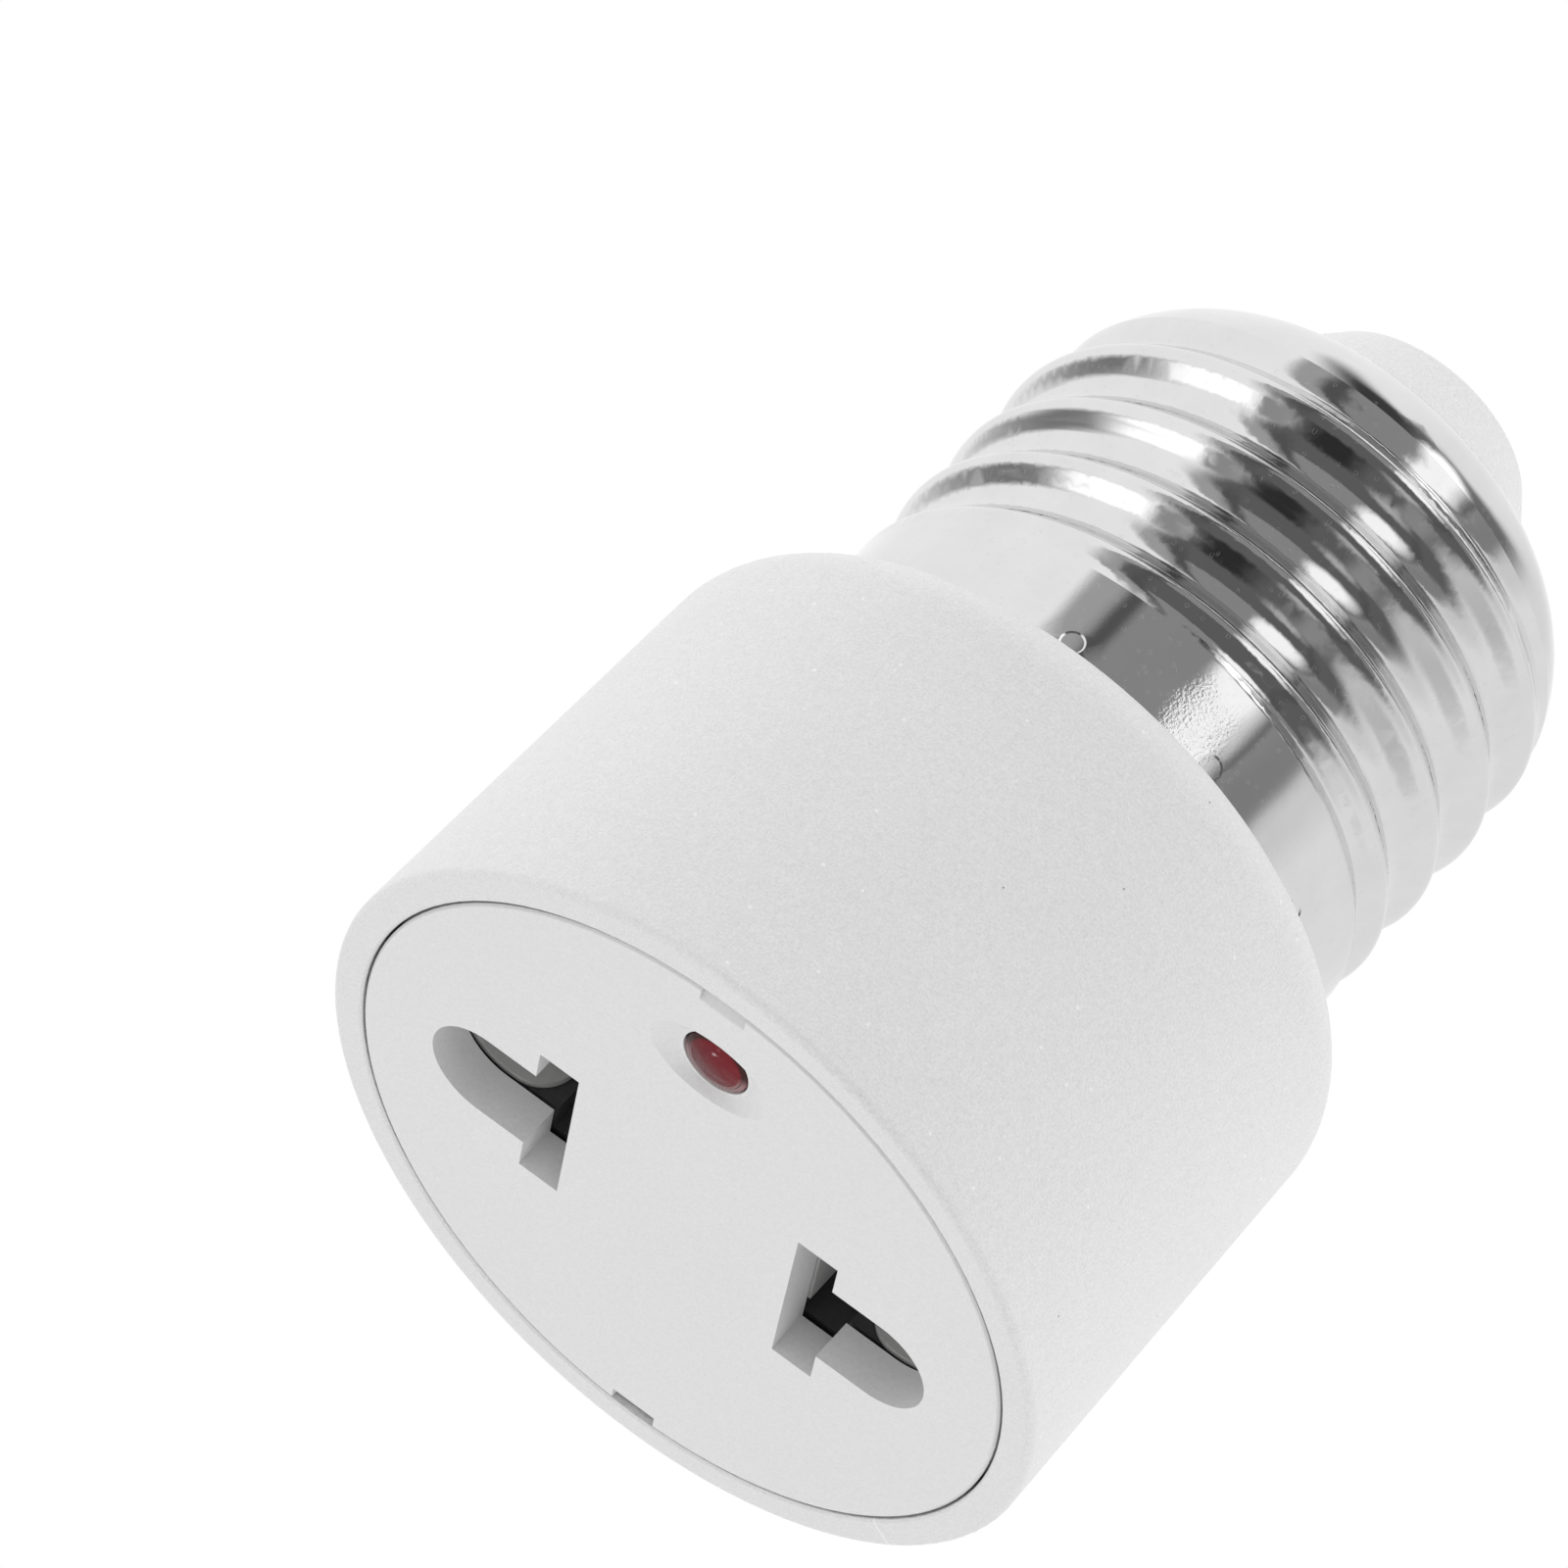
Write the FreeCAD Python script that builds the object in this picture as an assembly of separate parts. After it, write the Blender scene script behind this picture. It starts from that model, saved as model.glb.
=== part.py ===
# Light socket outlet adapter: an E27 screw cap at the top, a two-pin outlet face at the bottom.
# Millimetres, +Z up. The origin is the centre of the rim that the adapter stands on.
# The outlet faces -Z, the slots lie along X and the indicator lamp is on the -Y side.
import FreeCAD, Part
import math
import os

from FreeCAD import Vector

# T-shaped slots: a crossbar for a flat blade, a round-ended channel for a round pin
BLADE_X = 6.35           # centre of the crossbar from the middle of the face
BLADE_SLOT_W = 1.92
BLADE_SLOT_H = 8.24
PIN_X = 9.68             # centre of the channel's round end
PIN_SLOT_R = 2.49
INSERT_DEPTH = 19.15     # rim to the contact's floor, for a pin of 19 mm

# Contacts, bent from one strip each
STRIP_T = 0.35
SLEEVE_R = 2.35          # inside radius round the pin
LEG_SETBACK = 1.4        # middle of the crossbar to where the two legs begin
LEG_ROUND = 1.7
LEAF_SETBACK = 1.25      # middle of the crossbar to the inner face of the blade leaf
LEAF_SIDE = 1.12         # the crossbar is this much longer than the leaf at each end
LEAF_BOW = 0.65
BOW_LOW_GAP = 1.68       # contact's outlet end to the bow
BOW_HIGH_GAP = 4.65      # bow to the contact's floor
LUG_DROP = 2.1           # outside of the contact's floor to the solder lug
LUG_W = 3.0
LUG_LIP = 0.8            # middle of the lug's hole to its end
LUG_ROUND = 0.9
CONTACT_GAP = 0.2        # contact's outlet end to the plate's back

# Contact carrier
POCKET_FIT = 0.1
TOWER_WALL = 1.0
TOWER_GAP = 0.3          # tower's end to the plate's back
CARRIER_T = 1.1
CARRIER_FIT = 0.3
WIRE_HOLE_FIT = 0.25
KEY_W = 1.6
KEY_DEEP = 0.8
KEY_ROOT = 0.3           # how deep a key's root stands in the wall
KEY_GAP = 0.62           # a tower's round side to the key
KEY_FIT = 0.15

# Housing
WALL_T = 1.8             # body's wall at the screw end
ROOF_T = 1.95            # body's end wall
PLATE_LEDGE = 0.7        # step in the wall that the plate rests on
RIM_W = 1.5              # rim ring round the plate
TOP_ROUND = 2.8          # rounding of the shoulder
RIM_BREAK = 0.35         # edge break of the rim, outside
RIM_INNER_BREAK = 0.12   # edge break of the rim, inside

# Outlet face plate
PLATE_T = 2.0
PLATE_INSET = 0.02       # the plate's face lies this far inside the rim
SEAM_GAP = 0.1           # between the plate's edge and the rim
PLATE_BREAK = 0.12
NOTCH_W = 2.1            # sloping prying notches at the seam
NOTCH_DEEP = 0.75
NOTCH_H = 0.4

# Snap arms of the plate
ARM_W = 5.0
ARM_T = 0.9
ARM_GAP = 0.4            # arm to the body's wall
ARM_LEN = 6.5            # from the plate's back
ARM_ROOT = 0.1
HOOK_OUT = 0.75
HOOK_H = 1.6
HOOK_SLOPE = 0.15        # slope of the hook's catch
HOOK_NOSE = 0.35         # flat end of the hook
HOOK_FIT = 0.2

# Indicator lamp
LAMP_R = 1.5
LAMP_LIP = 0.4           # flange beyond the lens
LAMP_FLANGE_T = 1.0
LAMP_LEN = 5.2
LAMP_TOP = 0.2           # top of the dome, from the rim plane
LAMP_DOME_H = 0.25
DOME_AT = 0.75           # a point of the dome, as shares of its radius and height
DOME_FALL = 0.556
LAMP_EDGE = 0.12         # rounding of the dome's edge
LAMP_FIT = 0.06
DISH_RIM = (2.85, 1.9)   # half lengths of the oval dish, across and toward the rim
DISH_FLOOR = (1.75, 1.62)
DISH_DEEP = 0.42
SEAT_WALL = 0.9          # wall of the lamp's seat behind the plate
SEAT_GAP = 0.22          # seat to the snap arm beside it

# Lamp circuit
RESISTOR_R = 1.15
RESISTOR_LEN = 6.2
RESISTOR_WAIST = 0.15
WAIST_SHARE = 0.25       # length of each bulb of the resistor
DIODE_R = 0.95
DIODE_LEN = 4.0
PART_GAP = 0.44          # resistor to diode
PART_ROUND = 0.3
LEAD_R = 0.25
LEAD_LIFT = 0.65         # upper leads above the solder lugs
LEAD_RISE = 1.8          # top of the resistor to the upper leads
LEAD_REACH = 0.6         # where a lead ends in its solder, as a share of the drop
TUBE_LOW_SHARE = 0.3     # insulating tubes between the lamp and the components
TUBE_HIGH_SHARE = 0.94
TUBE_T = 0.3

# Screw shell, rolled from thin sheet
SHEET_T = 0.28
THREAD_CREST_R = 13.22
THREAD_DEPTH = 1.03
THREAD_PITCH = 3.629     # seven threads to the inch
THREAD_H = 14.5
THREAD_SHARPNESS = 1.6   # above 1 the crests are narrower than the valleys
THREAD_CREST_RISE = 4.6      # collar to a crest, on the bearing below
THREAD_CREST_DEG = -120.0
THREAD_RUN_IN = 1.3      # height over which the thread rises from the collar
THREAD_RUN_OUT = 2.3
COLLAR_H = 4.9
COLLAR_STEP = 0.14       # crest to the collar's top
COLLAR_TAPER = 0.13      # the collar is this much smaller near its foot
FOOT_FLARE = 0.8
FOOT_H = 0.95
FOOT_HOLLOW = 0.3        # how hollow the flare is, 0.5 for a straight one
HEEL_W = 0.25
HEEL_H = 0.45
SHOULDER_STEP = 0.42     # the thread dies out this far above its root
SHOULDER_H = 4.4
SHOULDER_BULGE = 0.55
BULGE_LOSS = 0.2         # how much less the sheet's inside bulges, per thickness
MOUTH_GAP = 0.18         # nose to the shell's mouth
STAKE_COUNT = 11
STAKE_RISE = 1.45
STAKE_DEG = -93.3
STAKE_R = 0.95           # radius of the punch's round end
STAKE_DEEP = 0.17

# Neck and nose of the housing, inside and above the shell
NECK_FIT = 0.06
NECK_THREAD_FIT = 0.15
NECK_WALL = 1.74
NECK_STEP_H = 0.3        # slope between the collar's seat and the thread's
NECK_TOP_GAP = 0.2
NECK_TOP_WALL = 1.4
SEAT_STEP = 0.25
SEAT_ROOF = 1.2
NOSE_R = 7.95
NOSE_SKIRT = 0.45
NOSE_TOP_R = 5.35
NOSE_H = 4.5
NOSE_ROUND = 0.8
NOSE_ROOF = 2.2
NOSE_WALL = 1.9
NOSE_TOP_WALL = 0.6

# Centre contact, a headed tube riveted into the nose
HEAD_STEP = 0.15         # rounding of the nose to the head
HEAD_H = 0.8
HEAD_EDGE = 0.22
CROWN_AT = 0.62          # a point of the head's dome, as shares of its radius and height
CROWN_H = 0.78
CAP_T = 0.4
SHANK_R = 1.7
SHANK_BORE_R = 0.75
SHANK_FIT = 0.05
FLARE_W = 0.7
FLARE_T = 0.35

# Wires and solder
CORE_R = 0.45
SHEATH_T = 0.4
CORE_FIT = 0.02
EXIT_FIT = 0.1
EXIT_RISE = 3.0          # body's shoulder to the hole for the neutral core
WIRE_TAIL = 0.5          # core below its lug and short of the nose's top
BARE_LOW = 0.3           # sheath's lower end below the carrier
BARE_TIP = 2.2           # sheath's upper end below the nose's roof
BARE_EXIT = 1.2          # sheath's end before the neck's wall
LIVE_TURN_LOW = 3.6      # live wire's turns, from the shoulder and below the thread's top
LIVE_TURN_HIGH = 5.8
NEUTRAL_TURN = 0.4       # neutral wire's first turn below the shoulder
NEUTRAL_LIFT = 0.2
SOLDER_R = 1.05
SOLDER_GAP = 0.15        # drop to the tower's wall

CUT_OVER = 1.0           # how far a cutting shape runs past what it cuts

# Places along Z
PLATE_BACK = PLATE_INSET + PLATE_T
CONTACT_LOW = PLATE_BACK + CONTACT_GAP
TOWER_LOW = PLATE_BACK + TOWER_GAP
FLOOR_Z = INSERT_DEPTH + STRIP_T
ROOF_Z = FLOOR_Z + CARRIER_T
BODY_H = ROOF_Z + ROOF_T
COLLAR_TOP = BODY_H + COLLAR_H
THREAD_TOP = COLLAR_TOP + THREAD_H
MOUTH_Z = THREAD_TOP + SHOULDER_H
NOSE_TOP = MOUTH_Z + NOSE_H
STAKE_Z = BODY_H + STAKE_RISE
WIRE_EXIT_Z = BODY_H + EXIT_RISE
LUG_Z = FLOOR_Z - LUG_DROP
LUG_TOP = LUG_Z + STRIP_T
LEAD_BEND_Z = LUG_TOP + LEAD_LIFT
LAMP_BACK = LAMP_TOP + LAMP_LEN
CIRCUIT_Z = LEAD_BEND_Z - LEAD_RISE - RESISTOR_LEN
TUBE_LOW = LAMP_BACK + (CIRCUIT_Z - LAMP_BACK) * TUBE_LOW_SHARE
TUBE_HIGH = LAMP_BACK + (CIRCUIT_Z - LAMP_BACK) * TUBE_HIGH_SHARE

# Places across
SLEEVE_OUT_R = SLEEVE_R + STRIP_T
SLEEVE_START = BLADE_X + LEG_SETBACK
LEAF_X = BLADE_X - LEAF_SETBACK
LEAF_W = BLADE_SLOT_H - 2 * LEAF_SIDE
POCKET_R = SLEEVE_OUT_R + POCKET_FIT
POCKET_X = LEAF_X - POCKET_FIT
LUG_HOLE_X = POCKET_X - TOWER_WALL - SOLDER_R - SOLDER_GAP
LUG_END = LUG_HOLE_X - LUG_LIP
SHEATH_R = CORE_R + SHEATH_T
WIRE_HOLE_R = LUG_HOLE_X + SHEATH_R + WIRE_HOLE_FIT
CAVITY_R = PIN_X + POCKET_R + TOWER_WALL + KEY_GAP + KEY_DEEP
CARRIER_R = CAVITY_R - CARRIER_FIT
TOP_R = CAVITY_R + WALL_T
PLATE_R = CAVITY_R + PLATE_LEDGE
RECESS_R = PLATE_R + SEAM_GAP
RIM_R = RECESS_R + RIM_W
ARM_Y = CAVITY_R - ARM_GAP - ARM_T
HOLE_R = LAMP_R + LAMP_FIT
SEAT_R = HOLE_R + SEAT_WALL
LAMP_FLANGE_R = LAMP_R + LAMP_LIP
LAMP_Y = SEAT_R + SEAT_GAP - ARM_Y
LEAD_X = (RESISTOR_R + DIODE_R + PART_GAP) / 2
COLLAR_TOP_R = THREAD_CREST_R - COLLAR_STEP
COLLAR_R = COLLAR_TOP_R - COLLAR_TAPER
FOOT_R = COLLAR_R + FOOT_FLARE
THREAD_ROOT_R = THREAD_CREST_R - THREAD_DEPTH
SHOULDER_R = THREAD_ROOT_R + SHOULDER_STEP
MOUTH_R = NOSE_R + MOUTH_GAP
NECK_R = COLLAR_R - SHEET_T - NECK_FIT
THREAD_NECK_R = THREAD_ROOT_R - SHEET_T - NECK_THREAD_FIT
NECK_BORE_R = THREAD_NECK_R - NECK_WALL
HEAD_R = NOSE_TOP_R - NOSE_ROUND - HEAD_STEP
FLARE_R = SHANK_R + FLARE_W
SIDES = {"left": -1, "right": 1}


def face_of(edges):
    """A flat face inside a closed outline."""
    return Part.Face(Part.Wire(edges))


def spin(shape):
    """An edge or a face in the XZ plane turned about Z."""
    return shape.revolve(Vector(0, 0, 0), Vector(0, 0, 1), 360)


def revolve(points):
    """A solid of revolution about Z from (r, z) points."""
    corners = [Vector(r, 0, z) for r, z in points]
    return spin(Part.Face(Part.makePolygon(corners + corners[:1])))


def line(a, b):
    """A straight edge between two (r, z) points."""
    return Part.LineSegment(Vector(a[0], 0, a[1]), Vector(b[0], 0, b[1])).toShape()


def arc(a, m, b):
    """An arc through three (r, z) points."""
    return Part.Arc(Vector(a[0], 0, a[1]), Vector(m[0], 0, m[1]), Vector(b[0], 0, b[1])).toShape()


def ring_edges(solid, radius, z, tol=1e-3):
    """The round edges at one height with one radius."""
    found = []
    for edge in solid.Edges:
        curve = edge.Curve
        if not isinstance(curve, Part.Circle):
            continue
        if abs(curve.Radius - radius) < tol and abs(curve.Center.z - z) < tol:
            found.append(edge)
    return found


def edges_at(solid, x, z, tol=1e-3):
    """The edges whose middle has one x and one height."""
    found = []
    for edge in solid.Edges:
        middle = edge.CenterOfMass
        if abs(middle.x - x) < tol and abs(middle.z - z) < tol:
            found.append(edge)
    return found


def box(x0, x1, y0, y1, z0, z1):
    """A box between two corners."""
    return Part.makeBox(x1 - x0, y1 - y0, z1 - z0, Vector(x0, y0, z0))


def rod(x, y, z0, z1, radius):
    """An upright cylinder."""
    return Part.makeCylinder(radius, z1 - z0, Vector(x, y, z0))


def channel(x0, x1, radius, z0, z1):
    """An upright bar from x0 to a round end about x1."""
    return box(x0, x1, -radius, radius, z0, z1).fuse(rod(x1, 0, z0, z1, radius)).removeSplitter()


def mirrored(shape, side):
    """The shape as built for +X, or its mirror image for -X."""
    return shape if side > 0 else shape.mirror(Vector(0, 0, 0), Vector(1, 0, 0))


def slot_prism(z0, z1, side):
    """The T-shaped outline of a slot as a prism."""
    half_w = BLADE_SLOT_W / 2
    half_h = BLADE_SLOT_H / 2
    bar = box(BLADE_X - half_w, BLADE_X + half_w, -half_h, half_h, z0, z1)
    return mirrored(bar.fuse(channel(BLADE_X, PIN_X, PIN_SLOT_R, z0, z1)).removeSplitter(), side)


def bent_path(points, share=0.45):
    """A wire of straight runs joined by tangent arcs, each as large as its runs allow."""
    corners = [Vector(*p) for p in points]
    edges = []
    start = corners[0]
    for before, corner, after in zip(corners, corners[1:], corners[2:]):
        into = (corner - before).normalize()
        out = (after - corner).normalize()
        cut = share * min((corner - before).Length, (after - corner).Length)
        first = corner - into * cut
        last = corner + out * cut
        radius = cut / math.tan(into.getAngle(out) / 2)
        inward = (out - into).normalize()
        centre_gap = math.sqrt(radius ** 2 + cut ** 2)
        middle = corner + inward * (centre_gap - radius)
        edges.append(Part.LineSegment(start, first).toShape())
        edges.append(Part.Arc(first, middle, last).toShape())
        start = last
    edges.append(Part.LineSegment(start, corners[-1]).toShape())
    return Part.Wire(edges)


def tube(path, radius):
    """A round bar along a path."""
    start = path.Edges[0]
    here = start.valueAt(start.FirstParameter)
    ahead = start.tangentAt(start.FirstParameter)
    ring = Part.Wire(Part.Circle(here, ahead, radius).toShape())
    return path.makePipeShell([ring], True, False)


def smooth(value):
    """A soft step from 0 to 1."""
    share = max(0.0, min(1.0, value))
    return share * share * (3 - 2 * share)


def thread_radius(degrees, z):
    """Radius of the rolled sheet's outside on one bearing and height of the thread."""
    rise = z - COLLAR_TOP
    turns = (rise - THREAD_CREST_RISE) / THREAD_PITCH - (degrees - THREAD_CREST_DEG) / 360
    crest = ((1 + math.cos(2 * math.pi * turns)) / 2) ** THREAD_SHARPNESS
    wave = THREAD_ROOT_R + THREAD_DEPTH * crest
    run_in = smooth(rise / THREAD_RUN_IN)
    run_out = smooth((THREAD_TOP - z) / THREAD_RUN_OUT)
    rising = COLLAR_TOP_R + (wave - COLLAR_TOP_R) * run_in
    return SHOULDER_R + (rising - SHOULDER_R) * run_out


def thread_face(inward, around=96, per_pitch=14):
    """The thread as one smooth closed face, moved inward by a thickness."""
    rows = math.ceil(THREAD_H / THREAD_PITCH * per_pitch)
    steps = [0, 1 / 3] + list(range(1, rows)) + [rows - 1 / 3, rows]
    swell = 1 / (1 - (1 - math.cos(2 * math.pi / around)) / 3)
    poles = []
    for i in range(around):
        degrees = 360.0 * i / around
        angle = math.radians(degrees)
        column = []
        for step in steps:
            z = COLLAR_TOP + THREAD_H * step / rows
            radius = (thread_radius(degrees, z) - inward) * swell
            column.append(Vector(radius * math.cos(angle), radius * math.sin(angle), z))
        poles.append(column)
    surface = Part.BSplineSurface()
    round_knots = list(range(around + 1))
    height_knots = list(range(rows + 1))
    round_mults = [1] * (around + 1)
    height_mults = [4] + [1] * (rows - 1) + [4]
    surface.buildFromPolesMultsKnots(
        poles, round_mults, height_mults, round_knots, height_knots, True, False, 3, 3)
    return surface.toShape()


def foot_edges():
    """The collar and its flared foot, from the outside of the thread round to its inside."""
    inner_r = COLLAR_R - SHEET_T
    outer_low = (COLLAR_R, BODY_H + FOOT_H)
    lip = (FOOT_R, BODY_H + SHEET_T)
    dip = (COLLAR_R + FOOT_FLARE * FOOT_HOLLOW, BODY_H + SHEET_T + (FOOT_H - SHEET_T) * FOOT_HOLLOW)
    under = (FOOT_R, BODY_H)
    heel = (inner_r + HEEL_W, BODY_H)
    inner_low = (inner_r, BODY_H + HEEL_H)
    return [
        line((COLLAR_TOP_R, COLLAR_TOP), outer_low),
        arc(outer_low, dip, lip),
        line(lip, under),
        line(under, heel),
        line(heel, inner_low),
        line(inner_low, (COLLAR_TOP_R - SHEET_T, COLLAR_TOP)),
    ]


def shoulder_arc(inward):
    """The rounded shoulder from the thread to the mouth, as three (r, z) points."""
    low = (SHOULDER_R - inward, THREAD_TOP)
    high = (MOUTH_R, MOUTH_Z - inward)
    bulge = SHOULDER_BULGE - BULGE_LOSS * inward
    middle = ((low[0] + high[0]) / 2 + bulge, (low[1] + high[1]) / 2 + bulge)
    return low, middle, high


def stakes(radius):
    """Balls of one radius where the sheet is punched in round the collar's foot."""
    distance = COLLAR_R - STAKE_DEEP + STAKE_R
    balls = []
    for i in range(STAKE_COUNT):
        angle = math.radians(STAKE_DEG + 360.0 * i / STAKE_COUNT)
        centre = Vector(distance * math.cos(angle), distance * math.sin(angle), STAKE_Z)
        balls.append(Part.makeSphere(radius, centre))
    return balls


def make_shell():
    """The screw shell: rolled thread, plain collar, flared foot and staked dimples."""
    outside = shoulder_arc(0)
    inside = shoulder_arc(SHEET_T)
    edges = foot_edges() + [arc(*outside), line(outside[2], inside[2]), arc(*inside)]
    faces = [spin(edge) for edge in edges] + [thread_face(0), thread_face(SHEET_T)]
    skin = Part.Compound(faces)
    skin.sewShape()
    shell = Part.Solid(skin.Shells[0])
    if shell.Volume < 0:
        shell.reverse()
    wall = rod(0, 0, BODY_H, COLLAR_TOP, COLLAR_R - SHEET_T / 2)
    bumps = [ball.common(wall) for ball in stakes(STAKE_R + SHEET_T)]
    return shell.fuse(bumps).cut(stakes(STAKE_R))


def make_housing():
    """Body, neck and nose in one moulding, open at the outlet end."""
    seat = MOUTH_Z - SHEET_T - NECK_THREAD_FIT
    shank_hole_r = SHANK_R + SHANK_FIT
    outer = [
        (RECESS_R, 0), (RIM_R, 0), (TOP_R, BODY_H), (NECK_R, BODY_H), (NECK_R, COLLAR_TOP - NECK_STEP_H),
        (THREAD_NECK_R, COLLAR_TOP), (THREAD_NECK_R, THREAD_TOP - NECK_TOP_GAP), (NOSE_R, seat - SEAT_STEP),
        (NOSE_R, MOUTH_Z + NOSE_SKIRT), (NOSE_TOP_R, NOSE_TOP),
    ]
    inner = [
        (shank_hole_r, NOSE_TOP), (shank_hole_r, NOSE_TOP - NOSE_ROOF),
        (NOSE_TOP_R - NOSE_TOP_WALL, NOSE_TOP - NOSE_ROOF),
        (NOSE_R - NOSE_WALL, MOUTH_Z), (NOSE_R - NOSE_WALL, seat - SEAT_ROOF),
        (NECK_BORE_R, THREAD_TOP - NECK_TOP_WALL), (NECK_BORE_R, ROOF_Z), (CAVITY_R, ROOF_Z),
        (CAVITY_R, PLATE_BACK), (RECESS_R, PLATE_BACK),
    ]
    body = revolve(outer + inner)
    ring_w = TOP_R - NECK_R
    body = body.makeFillet(min(TOP_ROUND, 0.9 * ring_w), ring_edges(body, TOP_R, BODY_H))
    body = body.makeFillet(RIM_BREAK, ring_edges(body, RIM_R, 0))
    body = body.makeFillet(NOSE_ROUND, ring_edges(body, NOSE_TOP_R, NOSE_TOP))
    body = body.makeChamfer(RIM_INNER_BREAK, ring_edges(body, RECESS_R, 0))
    for side in SIDES.values():
        body = body.fuse(mirrored(carrier_key(), side))
        body = body.cut(hook_recess(side))
    body = body.cut(stakes(STAKE_R + SHEET_T + NECK_FIT))
    exit_start = Vector(0, NECK_BORE_R - CUT_OVER, WIRE_EXIT_Z)
    exit_len = COLLAR_R - NECK_BORE_R + CUT_OVER
    return body.cut(Part.makeCylinder(CORE_R + EXIT_FIT, exit_len, exit_start, Vector(0, 1, 0)))


def carrier_key():
    """A rib inside the body that stops the carrier turning."""
    return box(CAVITY_R - KEY_DEEP, CAVITY_R + KEY_ROOT, -KEY_W / 2, KEY_W / 2, TOWER_LOW, ROOF_Z)


def hook_recess(side):
    """The pocket in the body's wall that a snap hook springs into."""
    z1 = PLATE_BACK + ARM_LEN + HOOK_FIT
    z0 = z1 - HOOK_H - 2 * HOOK_FIT
    deep = ARM_Y + ARM_T + HOOK_OUT + HOOK_FIT
    half = ARM_W / 2 + HOOK_FIT
    y0, y1 = sorted((side * (CAVITY_R - CUT_OVER), side * deep))
    return box(-half, half, y0, y1, z0, z1)


def make_plate():
    """The outlet face: T slots, lamp hole in an oval dish, prying notches and snap arms."""
    plate = rod(0, 0, PLATE_INSET, PLATE_BACK, PLATE_R)
    plate = plate.makeChamfer(PLATE_BREAK, ring_edges(plate, PLATE_R, PLATE_INSET))
    plate = plate.fuse(rod(0, LAMP_Y, PLATE_BACK, LAMP_BACK, SEAT_R))
    for side in SIDES.values():
        plate = plate.cut(slot_prism(-CUT_OVER, PLATE_BACK + CUT_OVER, side))
        plate = plate.fuse(snap_arm(side))
        plate = plate.cut(prying_notch(side))
    plate = plate.cut(rod(0, LAMP_Y, -CUT_OVER, LAMP_BACK + CUT_OVER, HOLE_R))
    plate = plate.cut(lamp_dish())
    flange_z = LAMP_BACK - LAMP_FLANGE_T
    return plate.cut(rod(0, LAMP_Y, flange_z, LAMP_BACK + CUT_OVER, LAMP_FLANGE_R + LAMP_FIT))


def lamp_dish():
    """The oval dish that the lamp looks out of, as the solid to cut away."""
    rings = []
    for halves, z in ((DISH_RIM, PLATE_INSET), (DISH_FLOOR, PLATE_INSET + DISH_DEEP)):
        oval = Part.Ellipse(Vector(0, LAMP_Y, z), *halves)
        rings.append(Part.Wire(oval.toShape()))
    return Part.makeLoft(rings, True, True)


def prying_notch(side):
    """A wedge cut from the plate's edge, deepest at the seam."""
    inner = PLATE_R - NOTCH_DEEP
    outer = PLATE_R + SEAM_GAP
    deep = PLATE_INSET + NOTCH_H * (outer - inner) / NOTCH_DEEP
    outline = [(inner, -CUT_OVER), (inner, PLATE_INSET), (outer, deep), (outer, -CUT_OVER)]
    corners = [Vector(-NOTCH_W / 2, side * y, z) for y, z in outline]
    return Part.Face(Part.makePolygon(corners + corners[:1])).extrude(Vector(NOTCH_W, 0, 0))


def snap_arm(side):
    """A springy arm with a hook at its end."""
    root = PLATE_BACK - ARM_ROOT
    z1 = PLATE_BACK + ARM_LEN
    catch = z1 - HOOK_H
    face = ARM_Y + ARM_T
    nose = face + HOOK_OUT
    outline = [
        (ARM_Y, root), (face, root), (face, catch), (nose, catch + HOOK_SLOPE),
        (nose, catch + HOOK_SLOPE + HOOK_NOSE), (face, z1), (ARM_Y, z1),
    ]
    corners = [Vector(-ARM_W / 2, side * y, z) for y, z in outline]
    return Part.Face(Part.makePolygon(corners + corners[:1])).extrude(Vector(ARM_W, 0, 0))


def make_carrier():
    """The inner moulding: a disc with a T-shaped tower round each contact."""
    carrier = rod(0, 0, FLOOR_Z, ROOF_Z, CARRIER_R)
    for side in SIDES.values():
        carrier = carrier.fuse(mirrored(tower(), side))
    half_key = KEY_W / 2 + KEY_FIT
    key_x = CAVITY_R - KEY_DEEP - KEY_FIT
    notch = box(key_x, CAVITY_R, -half_key, half_key, TOWER_LOW, ROOF_Z + CUT_OVER)
    for side in SIDES.values():
        carrier = carrier.cut(mirrored(pocket(), side))
        carrier = carrier.cut(mirrored(notch, side))
    return carrier.cut(rod(0, 0, FLOOR_Z - CUT_OVER, ROOF_Z + CUT_OVER, WIRE_HOLE_R))


def tower():
    """The outside of one contact tower."""
    half_h = BLADE_SLOT_H / 2 + TOWER_WALL
    x1 = BLADE_X + BLADE_SLOT_W / 2 + TOWER_WALL
    bar = box(POCKET_X - TOWER_WALL, x1, -half_h, half_h, TOWER_LOW, FLOOR_Z)
    return bar.fuse(channel(BLADE_X, PIN_X, POCKET_R + TOWER_WALL, TOWER_LOW, FLOOR_Z))


def pocket():
    """The room inside one tower, with the slit that lets the solder lug pass."""
    low = TOWER_LOW - CUT_OVER
    half_h = BLADE_SLOT_H / 2
    bar = box(POCKET_X, BLADE_X + BLADE_SLOT_W / 2, -half_h, half_h, low, FLOOR_Z)
    room = bar.fuse(channel(BLADE_X, PIN_X, POCKET_R, low, FLOOR_Z))
    half_w = LUG_W / 2 + POCKET_FIT
    slit_x = POCKET_X - TOWER_WALL - CUT_OVER
    return room.fuse(box(slit_x, LEAF_X, -half_w, half_w, low, LUG_TOP + POCKET_FIT))


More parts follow.
